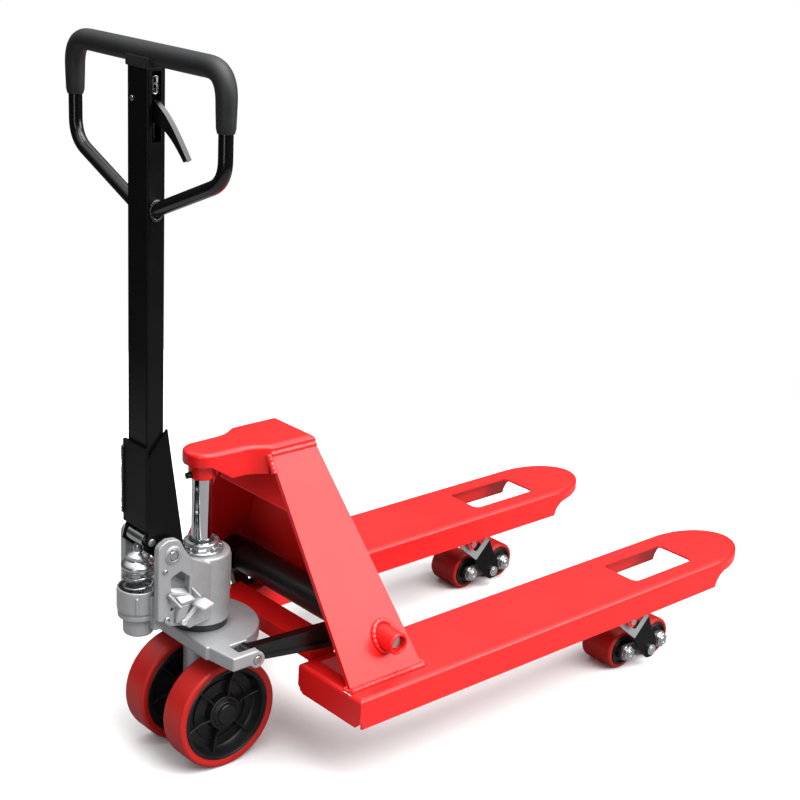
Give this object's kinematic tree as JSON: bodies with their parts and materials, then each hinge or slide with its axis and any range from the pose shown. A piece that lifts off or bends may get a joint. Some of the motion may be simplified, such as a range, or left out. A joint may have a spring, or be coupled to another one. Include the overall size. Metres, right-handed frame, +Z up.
{
  "type": "pallet jack",
  "caption": "Hand pallet jack with steering pump unit on steer wheels, loop handle, lifting forks on tandem load rollers and push-rod linkage.",
  "frame": {"origin": "middle of the footprint on the floor", "axes": "+X towards the fork tips, +Y left, +Z up; forks partly raised, handle upright, wheels straight"},
  "size_m": [1.221, 0.55, 1.1175],
  "materials": {
    "red_paint": "gloss red enamel",
    "weld": "red enamel over weld beads",
    "black_paint": "satin black enamel",
    "dark_forging": "dark grey paint over forging",
    "pump_paint": "silver-grey paint over casting",
    "chrome": "polished",
    "steel": "turned steel",
    "zinc": "zinc plated",
    "spring_steel": "drawn wire",
    "grip_rubber": "matt moulded",
    "red_pu": "satin polyurethane",
    "black_nylon": "moulded nylon",
    "black_screw": "black oxide"
  },
  "bodies": {
    "frame": {"fork_left": "red_paint", "fork_right": "red_paint", "fork_stiffeners": "red_paint", "side_plate_left": "red_paint", "side_plate_right": "red_paint", "front_plate": "red_paint", "head": "red_paint", "piston_collar": "red_paint", "piston_lock_screw": "black_screw", "piston_rod": "chrome", "shaft_bushes": "red_paint", "leg_ears": "red_paint", "leg_pivot_pins": "zinc", "weld_beads": "weld"},
    "base": {"thrust_plate": "dark_forging", "rocker_pins": "zinc", "thrust_bearing": "steel"},
    "rocker": {"rocker_arms": "dark_forging", "torsion_tube": "dark_forging", "rocker_shafts": "steel", "crank_pins": "zinc"},
    "pump": {"pump_body": "pump_paint", "gland_nut": "zinc", "wheel_axle": "steel", "handle_pin": "steel", "valve_screws": "zinc", "pump_spring": "spring_steel"},
    "plunger": {"pump_plunger": "steel"},
    "release_lever": {"release_lever": "dark_forging"},
    "handle": {"drawbar": "black_paint", "handle_loop": "black_paint", "handle_grip": "grip_rubber", "handle_bracket": "black_paint", "press_roller_pin": "zinc", "lever_pin": "zinc"},
    "press_roller": {"press_roller": "steel"},
    "control_lever": {"control_lever": "black_paint"},
    "pull_rod": {"pull_rod": "zinc"},
    "push_rod_left": {"push_rod_left": "black_paint"},
    "leg_left": {"leg_left": "dark_forging", "leg_pins_left": "zinc"},
    "bogie_left": {"bogie_plates_left": "dark_forging", "axle_bolts_left": "zinc"},
    "roller_left_rear": {"roller_tyre_left_rear": "red_pu", "roller_core_left_rear": "black_nylon"},
    "roller_left_front": {"roller_tyre_left_front": "red_pu", "roller_core_left_front": "black_nylon"},
    "push_rod_right": {"push_rod_right": "black_paint"},
    "leg_right": {"leg_right": "dark_forging", "leg_pins_right": "zinc"},
    "bogie_right": {"bogie_plates_right": "dark_forging", "axle_bolts_right": "zinc"},
    "roller_right_rear": {"roller_tyre_right_rear": "red_pu", "roller_core_right_rear": "black_nylon"},
    "roller_right_front": {"roller_tyre_right_front": "red_pu", "roller_core_right_front": "black_nylon"},
    "steer_wheel_left": {"steer_tyre_left": "red_pu", "wheel_hub_left": "black_nylon"},
    "steer_wheel_right": {"steer_tyre_right": "red_pu", "wheel_hub_right": "black_nylon"}
  },
  "joints": [
    {"name": "lift", "type": "slide", "parent": "frame", "child": "base", "axis": [0, 0, 1], "range_m": [-0.014, 0.086]},
    {"name": "rocker_swing", "type": "hinge", "parent": "frame", "child": "rocker", "pos_m": [-0.2645, 0, 0.225], "axis": [0, 1, 0], "range_deg": [-4.57, 26.51]},
    {"name": "push_rod_left_swing", "type": "hinge", "parent": "rocker", "child": "push_rod_left", "pos_m": [-0.2505, 0.173, 0.14624], "axis": [0, 1, 0], "range_deg": [-26.51, 4.57]},
    {"name": "leg_left_swing", "type": "hinge", "parent": "frame", "child": "leg_left", "pos_m": [0.2755, 0.2, 0.112], "axis": [0, 1, 0], "range_deg": [-54.33, 9.1]},
    {"name": "bogie_left_tilt", "type": "hinge", "parent": "leg_left", "child": "bogie_left", "pos_m": [0.3425, 0.2, 0.035], "axis": [0, 1, 0], "range_deg": [-9.1, 54.33]},
    {"name": "roller_left_rear_spin", "type": "hinge", "parent": "bogie_left", "child": "roller_left_rear", "pos_m": [0.2975, 0.2, 0.035], "axis": [0, 1, 0], "continuous": true},
    {"name": "roller_left_front_spin", "type": "hinge", "parent": "bogie_left", "child": "roller_left_front", "pos_m": [0.3875, 0.2, 0.035], "axis": [0, 1, 0], "continuous": true},
    {"name": "push_rod_right_swing", "type": "hinge", "parent": "rocker", "child": "push_rod_right", "pos_m": [-0.2505, -0.173, 0.14624], "axis": [0, 1, 0], "range_deg": [-26.51, 4.57]},
    {"name": "leg_right_swing", "type": "hinge", "parent": "frame", "child": "leg_right", "pos_m": [0.2755, -0.2, 0.112], "axis": [0, 1, 0], "range_deg": [-54.33, 9.1]},
    {"name": "bogie_right_tilt", "type": "hinge", "parent": "leg_right", "child": "bogie_right", "pos_m": [0.3425, -0.2, 0.035], "axis": [0, 1, 0], "range_deg": [-9.1, 54.33]},
    {"name": "roller_right_rear_spin", "type": "hinge", "parent": "bogie_right", "child": "roller_right_rear", "pos_m": [0.2975, -0.2, 0.035], "axis": [0, 1, 0], "continuous": true},
    {"name": "roller_right_front_spin", "type": "hinge", "parent": "bogie_right", "child": "roller_right_front", "pos_m": [0.3875, -0.2, 0.035], "axis": [0, 1, 0], "continuous": true},
    {"name": "steer", "type": "hinge", "parent": "base", "child": "pump", "pos_m": [-0.4605, 0, 0.2], "axis": [0, 0, 1], "range_deg": [-90, 90]},
    {"name": "steer_wheel_left_spin", "type": "hinge", "parent": "pump", "child": "steer_wheel_left", "pos_m": [-0.4605, 0.053, 0.09], "axis": [0, 1, 0], "continuous": true},
    {"name": "steer_wheel_right_spin", "type": "hinge", "parent": "pump", "child": "steer_wheel_right", "pos_m": [-0.4605, -0.053, 0.09], "axis": [0, 1, 0], "continuous": true},
    {"name": "handle_swing", "type": "hinge", "parent": "pump", "child": "handle", "pos_m": [-0.5485, 0, 0.375], "axis": [0, -1, 0], "range_deg": [0, 75], "stiffness_Nm_per_rad": 18, "springref_deg": -20.05},
    {"name": "plunger_slide", "type": "slide", "parent": "pump", "child": "plunger", "axis": [0, 0, 1], "range_m": [-0.0382, 0], "deforming": ["pump_spring"]},
    {"name": "press_roller_spin", "type": "hinge", "parent": "handle", "child": "press_roller", "pos_m": [-0.5725, 0, 0.394], "axis": [0, 1, 0], "continuous": true},
    {"name": "lever_swing", "type": "hinge", "parent": "handle", "child": "control_lever", "pos_m": [-0.5625, 0.012, 1.04], "axis": [-1, 0, 0], "range_deg": [-4, 14]},
    {"name": "pull_rod_slide", "type": "slide", "parent": "handle", "child": "pull_rod", "axis": [0, 0, 1], "range_m": [-0.0014, 0.0046]},
    {"name": "release_swing", "type": "hinge", "parent": "pump", "child": "release_lever", "pos_m": [-0.5305, -0.05, 0.262], "axis": [0, -1, 0], "range_deg": [-3.2, 10.7]}
  ],
  "couplings": [
    {"joint": "rocker_swing", "follows": "lift", "rad_per_m": 5.32},
    {"joint": "push_rod_left_swing", "follows": "lift", "rad_per_m": -5.32},
    {"joint": "leg_left_swing", "follows": "lift", "rad_per_m": -10.965},
    {"joint": "bogie_left_tilt", "follows": "lift", "rad_per_m": 10.965},
    {"joint": "push_rod_right_swing", "follows": "lift", "rad_per_m": -5.32},
    {"joint": "leg_right_swing", "follows": "lift", "rad_per_m": -10.965},
    {"joint": "bogie_right_tilt", "follows": "lift", "rad_per_m": 10.965},
    {"joint": "plunger_slide", "follows": "handle_swing", "m_per_rad": -0.0288},
    {"joint": "pull_rod_slide", "follows": "lever_swing", "m_per_rad": 0.018},
    {"joint": "release_swing", "follows": "lever_swing", "ratio": 0.75}
  ]
}
